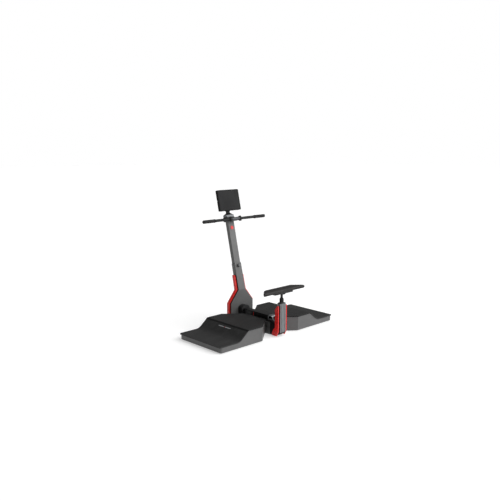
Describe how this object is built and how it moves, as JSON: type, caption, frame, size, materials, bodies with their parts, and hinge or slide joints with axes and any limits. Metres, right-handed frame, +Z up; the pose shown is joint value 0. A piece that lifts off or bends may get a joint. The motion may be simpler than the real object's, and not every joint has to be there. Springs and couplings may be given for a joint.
{
  "type": "vibration plate",
  "caption": "Seated vibration plate: twin stepped platforms with vibrating decks, raked telescoping column with handlebar and display, and a height-adjustable swivel seat.",
  "frame": {"origin": "on the floor, at the middle of the overall length and depth", "axes": "+X along the two platforms to the user's right, +Y from the seat towards the column and display, +Z up"},
  "size_m": [1.852, 1.0078, 1.6359],
  "materials": {
    "skirt_paint": "satin powder coat",
    "column_paint": "satin powder coat",
    "red_paint": "semi-gloss paint",
    "black_paint": "satin powder coat",
    "tread": "ribbed matt rubber",
    "rubber": "matt",
    "cast_iron": "cast and painted",
    "steel": "machined",
    "aluminium": "anodised",
    "black_plastic": "fine grained",
    "screen": "gloss",
    "upholstery": "soft vinyl"
  },
  "bodies": {
    "base": {"platform_skirt_right": "skirt_paint", "platform_skirt_left": "skirt_paint", "lower_mat_right": "tread", "lower_mat_left": "tread", "base_tray_right": "black_paint", "base_tray_left": "black_paint", "isolator_right": "rubber", "isolator_left": "rubber", "floor_pad_right": "rubber", "floor_pad_left": "rubber", "column_cover": "column_paint", "column_trim_right": "red_paint", "column_trim_left": "red_paint", "column_gasket_right": "rubber", "column_gasket_left": "rubber", "column_back_cover": "black_plastic", "column_lower_tube": "column_paint", "column_bush": "black_plastic", "chassis": "skirt_paint", "post_block": "black_paint", "arm_beam": "black_paint", "arm_top_cover": "tread", "arm_end_bracket": "aluminium", "foot_hood": "black_plastic", "post_plate_right": "red_paint", "post_plate_left": "red_paint", "control_box": "black_plastic", "power_inlet": "black_plastic"},
    "deck_right": {"upper_mat_right": "tread", "vibration_deck_right": "steel", "vibration_motor_right": "cast_iron"},
    "deck_left": {"upper_mat_left": "tread", "vibration_deck_left": "steel", "vibration_motor_left": "cast_iron"},
    "rotor_right": {"eccentric_rotor_right": "steel"},
    "rotor_left": {"eccentric_rotor_left": "steel"},
    "mast": {"column_upper_tube": "column_paint", "badge_disc": "red_paint", "head_bracket": "black_paint", "head_cap": "aluminium", "bar_fork": "aluminium", "bar_clamp_right": "black_paint", "bar_clamp_left": "black_paint", "handlebar": "black_paint", "grip_right": "rubber", "grip_left": "rubber", "display_neck": "black_paint"},
    "lock": {"lock_knob": "black_plastic"},
    "display": {"display_housing": "black_plastic", "display_screen": "screen"},
    "button": {"display_button": "steel"},
    "post": {"seat_post": "aluminium", "post_foot_cap": "black_plastic", "post_top_cap": "black_plastic", "seat_collar": "black_paint"},
    "pin": {"seat_pin": "black_plastic"},
    "seat": {"seat_stem": "black_paint", "seat_pan": "black_plastic", "seat_cushion": "upholstery"},
    "switch": {"power_switch": "black_plastic"}
  },
  "joints": [
    {"name": "deck_right_shake", "type": "slide", "parent": "base", "child": "deck_right", "axis": [0, 0, 1], "range_m": [-0.002, 0.002], "stiffness_N_per_m": 500000, "springref_m": 0.0006},
    {"name": "deck_left_shake", "type": "slide", "parent": "base", "child": "deck_left", "axis": [0, 0, 1], "range_m": [-0.002, 0.002], "stiffness_N_per_m": 500000, "springref_m": 0.0006},
    {"name": "rotor_right_spin", "type": "hinge", "parent": "deck_right", "child": "rotor_right", "pos_m": [0.334, -0.09194, 0.098], "axis": [0, 1, 0], "continuous": true},
    {"name": "rotor_left_spin", "type": "hinge", "parent": "deck_left", "child": "rotor_left", "pos_m": [-0.334, -0.09194, 0.098], "axis": [0, 1, 0], "continuous": true},
    {"name": "column_height", "type": "slide", "parent": "base", "child": "mast", "axis": [0, 0.2258, 0.9742], "range_m": [0, 0.12]},
    {"name": "lock_pull", "type": "slide", "parent": "base", "child": "lock", "axis": [0, -0.9742, 0.2258], "range_m": [0, 0.008], "stiffness_N_per_m": 900, "springref_m": -0.004},
    {"name": "display_tilt", "type": "hinge", "parent": "mast", "child": "display", "pos_m": [0, 0.47052, 1.39121], "axis": [1, 0, 0], "range_deg": [-15, 15]},
    {"name": "button_press", "type": "slide", "parent": "display", "child": "button", "axis": [1, 0, 0], "range_m": [0, 0.0015], "stiffness_N_per_m": 800, "springref_m": -0.001},
    {"name": "seat_height", "type": "slide", "parent": "base", "child": "post", "axis": [0, 0, 1], "range_m": [0, 0.148]},
    {"name": "seat_pin_pull", "type": "slide", "parent": "base", "child": "pin", "axis": [1, 0, 0], "range_m": [0, 0.012], "stiffness_N_per_m": 700, "springref_m": -0.004},
    {"name": "seat_swivel", "type": "hinge", "parent": "post", "child": "seat", "pos_m": [0, -0.44694, 0.505], "axis": [0, 0, 1], "range_deg": [-45, 45]},
    {"name": "power_rock", "type": "hinge", "parent": "base", "child": "switch", "pos_m": [0.04, 0.35606, 0.08], "axis": [1, 0, 0], "range_deg": [-8, 8]}
  ]
}
